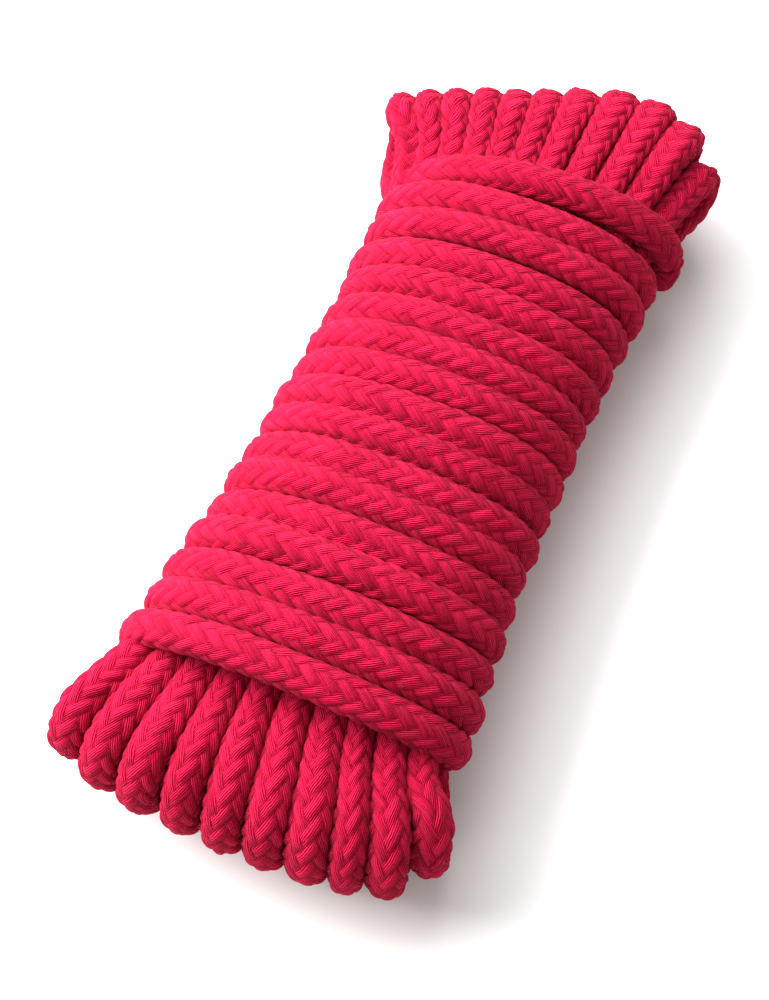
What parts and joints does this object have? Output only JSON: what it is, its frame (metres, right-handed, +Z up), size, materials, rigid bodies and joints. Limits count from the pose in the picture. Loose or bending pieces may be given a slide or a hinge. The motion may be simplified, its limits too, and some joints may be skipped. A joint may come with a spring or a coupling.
{
  "type": "lead rope hank",
  "caption": "Soft round braided rope, folded lengthwise into a hank and wound round the middle with close crosswise turns, for leading or tying an animal.",
  "frame": {"origin": "middle of the hank's footprint, on the surface it lies on", "axes": "+X along the hank towards the end whose bights stand on a slanted arc, +Y across it, +Z up"},
  "size_m": [0.219, 0.0904, 0.0446],
  "materials": {
    "rope_cotton": "matte braided cotton",
    "binding_twine": "matte twine"
  },
  "bodies": {
    "root": {"folded_hank": "rope_cotton", "wrapping_coil": "rope_cotton", "start_end": "rope_cotton", "start_whipping": "binding_twine", "tucked_tail": "rope_cotton", "tail_whipping": "binding_twine"}
  },
  "joints": []
}
